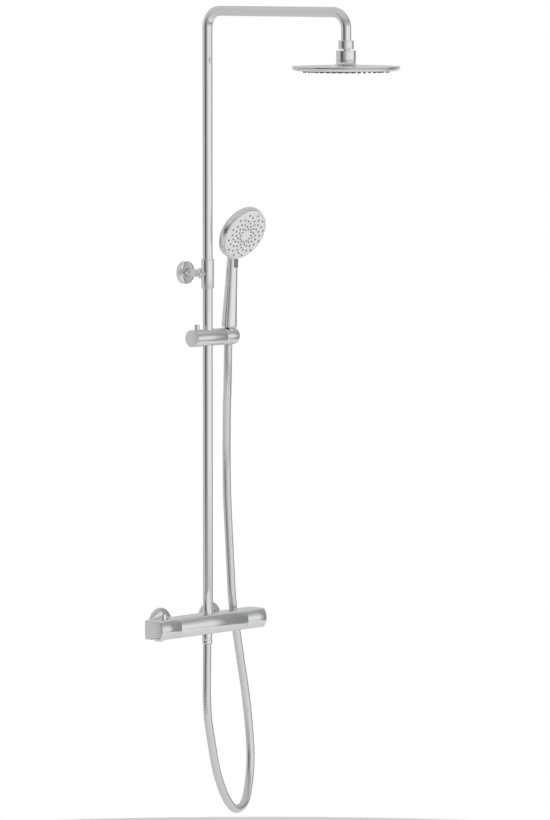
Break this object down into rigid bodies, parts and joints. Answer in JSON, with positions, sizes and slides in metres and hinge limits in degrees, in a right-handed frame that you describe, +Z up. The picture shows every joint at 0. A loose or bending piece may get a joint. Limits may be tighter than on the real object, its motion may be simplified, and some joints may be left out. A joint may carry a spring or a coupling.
{
  "type": "rainfall shower column",
  "caption": "Thermostatic bar mixer on two wall unions, with a riser, an overhead arm and round rain head, and a hand shower in a sliding holder on a hose.",
  "frame": {"origin": "on the wall plane, midway between the two inlets, at the height of the mixer's middle", "axes": "+X along the wall to the right as one faces it (the flow knob's side), +Y into the wall, +Z up"},
  "size_m": [0.345, 0.5355, 1.6148],
  "materials": {
    "chrome": "mirror-bright chrome plate on brass",
    "chromed_plastic": "mirror-bright chrome plate on ABS",
    "brass": "plain machined",
    "steel": "zinc plated",
    "rubber": "plain",
    "white_plastic": "natural moulded",
    "face_grey": "light grey, satin moulded",
    "nozzle_rubber": "soft dark silicone",
    "button_grey": "dark grey, satin moulded",
    "anchor_grey": "nylon",
    "hose_silver": "smooth silver hose under a clear skin"
  },
  "bodies": {
    "column": {"mixer_body": "chrome", "thermostatic_cartridge": "brass", "diverter_cartridge": "white_plastic", "riser_base_seal": "rubber", "riser_grub_screw": "steel", "outlet_nipple": "brass", "lower_riser": "chrome", "coupling_sleeve": "chrome", "lower_sleeve_seal": "rubber", "upper_sleeve_seal": "rubber", "sleeve_clamp_screw": "chrome", "bracket_cover": "chrome", "bracket_base": "steel", "bracket_stem": "chrome", "bracket_wall_screw": "steel", "bracket_wall_anchor": "anchor_grey", "hose_lower_nut": "chrome", "hose_lower_washer": "rubber", "shower_hose": "hose_silver", "wall_flange_left": "chrome", "union_tail_left": "brass", "union_nut_left": "chrome", "filter_washer_left": "rubber", "check_valve_left": "white_plastic", "wall_flange_right": "chrome", "union_tail_right": "brass", "union_nut_right": "chrome", "filter_washer_right": "rubber", "check_valve_right": "white_plastic"},
    "temperature_knob": {"temperature_knob": "chromed_plastic", "temperature_spindle": "brass"},
    "safety_button": {"safety_stop_button": "chromed_plastic"},
    "flow_knob": {"flow_knob": "chromed_plastic", "flow_spindle": "brass"},
    "arm": {"overhead_arm": "chrome", "arm_end_fitting": "chrome", "ball_stud": "brass", "flow_limiter": "white_plastic"},
    "ball_seat": {"ball_seat_ring": "white_plastic"},
    "rain_head": {"ball_nut": "chrome", "head_top_shell": "chrome", "head_spray_plate": "chrome", "head_nozzle_mat": "nozzle_rubber", "head_spreader": "white_plastic"},
    "slider": {"slider_body": "chromed_plastic", "slider_end_cap": "chromed_plastic", "slider_bush": "white_plastic"},
    "slider_button": {"slider_release_button": "chromed_plastic"},
    "clamp_rod": {"slider_clamp_rod": "steel"},
    "holder": {"holder_cup": "chromed_plastic"},
    "hand_shower": {"handset_body": "chromed_plastic", "handset_spray_face": "face_grey", "handset_nozzle_mat": "face_grey", "handset_spray_selector": "white_plastic", "handset_waterway": "white_plastic", "handset_tail": "brass", "handset_hose_nut": "chrome", "handset_hose_washer": "rubber"},
    "mode_button": {"handset_mode_button": "button_grey"}
  },
  "joints": [
    {"name": "temperature_turn", "type": "hinge", "parent": "column", "child": "temperature_knob", "pos_m": [-0.13, -0.05875, 0], "axis": [1, 0, 0], "range_deg": [-120, 45]},
    {"name": "safety_stop_press", "type": "slide", "parent": "temperature_knob", "child": "safety_button", "axis": [0, 0, -1], "range_m": [0, 0.003], "stiffness_N_per_m": 800, "springref_m": -0.002},
    {"name": "flow_turn", "type": "hinge", "parent": "column", "child": "flow_knob", "pos_m": [0.13, -0.05875, 0], "axis": [1, 0, 0], "range_deg": [-90, 90]},
    {"name": "arm_swing", "type": "hinge", "parent": "column", "child": "arm", "pos_m": [0, -0.063, 0.7], "axis": [0, 0, 1], "range_deg": [-45, 45]},
    {"name": "head_tilt_out", "type": "hinge", "parent": "arm", "child": "ball_seat", "pos_m": [0, -0.416, 1.128], "axis": [1, 0, 0], "range_deg": [-6, 6]},
    {"name": "head_tilt_side", "type": "hinge", "parent": "ball_seat", "child": "rain_head", "pos_m": [0, -0.416, 1.128], "axis": [0, 1, 0], "range_deg": [-6, 6]},
    {"name": "slider_height", "type": "slide", "parent": "column", "child": "slider", "axis": [0, 0, 1], "range_m": [-0.32, 0.075], "deforming": ["shower_hose"]},
    {"name": "slider_release", "type": "slide", "parent": "slider", "child": "slider_button", "axis": [0, 0, -1], "range_m": [0, 0.003], "stiffness_N_per_m": 800, "springref_m": -0.002},
    {"name": "clamp_rod_draw", "type": "slide", "parent": "slider", "child": "clamp_rod", "axis": [-1, 0, 0], "range_m": [0, 0.0015]},
    {"name": "holder_tilt", "type": "hinge", "parent": "slider", "child": "holder", "pos_m": [0.064, -0.063, 0.569], "axis": [1, 0, 0], "range_deg": [-4, 30]},
    {"name": "hand_shower_lift", "type": "slide", "parent": "holder", "child": "hand_shower", "axis": [0, -0.0628, 0.998], "range_m": [0, 0.06]},
    {"name": "mode_button_press", "type": "slide", "parent": "hand_shower", "child": "mode_button", "axis": [0.0924, 0.9938, 0.0625], "range_m": [0, 0.0015], "stiffness_N_per_m": 600, "springref_m": -0.002}
  ],
  "couplings": [
    {"joint": "clamp_rod_draw", "follows": "slider_release", "ratio": 0.5}
  ]
}
